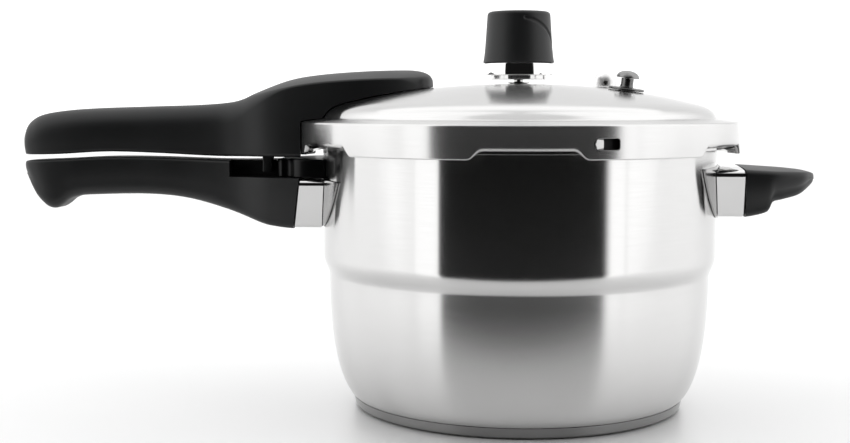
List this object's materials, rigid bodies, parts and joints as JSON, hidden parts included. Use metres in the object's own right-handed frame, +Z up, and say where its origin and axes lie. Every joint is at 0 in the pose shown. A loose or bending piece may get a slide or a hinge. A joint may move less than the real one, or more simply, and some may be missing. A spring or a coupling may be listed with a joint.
{
  "type": "stovetop pressure cooker",
  "caption": "Steel stovetop pressure cooker: stepped pot, domed bayonet lid, long twin handles, helper handle, weight valve, spring safety valve and float valve.",
  "frame": {"origin": "centre of the flat underside of the base, on the pot's axis", "axes": "+Z up along the pot's axis; the long handles point along -X and the helper handle along +X; -Y is the side with the safety window"},
  "size_m": [0.4523, 0.2472, 0.223],
  "materials": {
    "brushed_steel": "brushed round the pot",
    "chrome": "polished",
    "fixings_steel": "plain machined stainless steel",
    "aluminium": "plain",
    "phenolic": "satin moulded phenolic",
    "silicone": "matt silicone rubber"
  },
  "bodies": {
    "pot": {"pot_body": "brushed_steel", "base_core": "aluminium", "base_cap": "brushed_steel", "pot_handle_bracket": "chrome", "pot_handle_ferrule": "chrome", "pot_handle": "phenolic", "pot_handle_guide": "phenolic", "pot_handle_screw": "fixings_steel", "helper_bracket": "chrome", "helper_ferrule": "chrome", "helper_handle": "phenolic", "helper_screw": "fixings_steel"},
    "seal": {"sealing_ring": "silicone"},
    "lid": {"lid_shell": "brushed_steel", "lid_handle": "phenolic", "lid_handle_bracket": "fixings_steel", "lid_handle_screw_front": "fixings_steel", "lid_handle_screw_rear": "fixings_steel", "vent_pipe": "chrome", "vent_pipe_seal": "silicone", "vent_pipe_nut": "fixings_steel", "anti_clog_cover": "fixings_steel", "safety_valve_base": "chrome", "safety_valve_seal": "silicone", "safety_valve_nut": "fixings_steel", "safety_valve_spring": "fixings_steel", "float_valve_cover": "chrome", "float_valve_seal": "silicone", "float_valve_nut": "fixings_steel"},
    "clip": {"weight_clip": "fixings_steel"},
    "weight": {"weight_body": "chrome", "weight_needle": "fixings_steel", "weight_cap": "phenolic"},
    "safety_pin": {"safety_valve_pin": "chrome", "safety_valve_lock_nut": "fixings_steel"},
    "float": {"float_pin": "fixings_steel", "float_o_ring": "silicone", "float_clip": "fixings_steel"}
  },
  "joints": [
    {"name": "lid_lift", "type": "slide", "parent": "pot", "child": "seal", "axis": [0, 0, 1], "range_m": [0, 0.1]},
    {"name": "lid_turn", "type": "hinge", "parent": "seal", "child": "lid", "pos_m": [0, 0, 0.155], "axis": [0, 0, 1], "range_deg": [0, 30]},
    {"name": "weight_lift", "type": "slide", "parent": "lid", "child": "clip", "axis": [0, 0, 1], "range_m": [0, 0.024]},
    {"name": "weight_spin", "type": "hinge", "parent": "clip", "child": "weight", "pos_m": [0, 0, 0.19], "axis": [0, 0, 1], "continuous": true},
    {"name": "safety_valve_pop", "type": "slide", "parent": "lid", "child": "safety_pin", "axis": [0.1227, -0.0544, 0.9909], "range_m": [0, 0.0025], "stiffness_N_per_m": 6000, "springref_m": -0.0008, "deforming": ["safety_valve_spring"]},
    {"name": "float_rise", "type": "slide", "parent": "lid", "child": "float", "axis": [0.1008, 0.0484, 0.9937], "range_m": [0, 0.0045]}
  ]
}
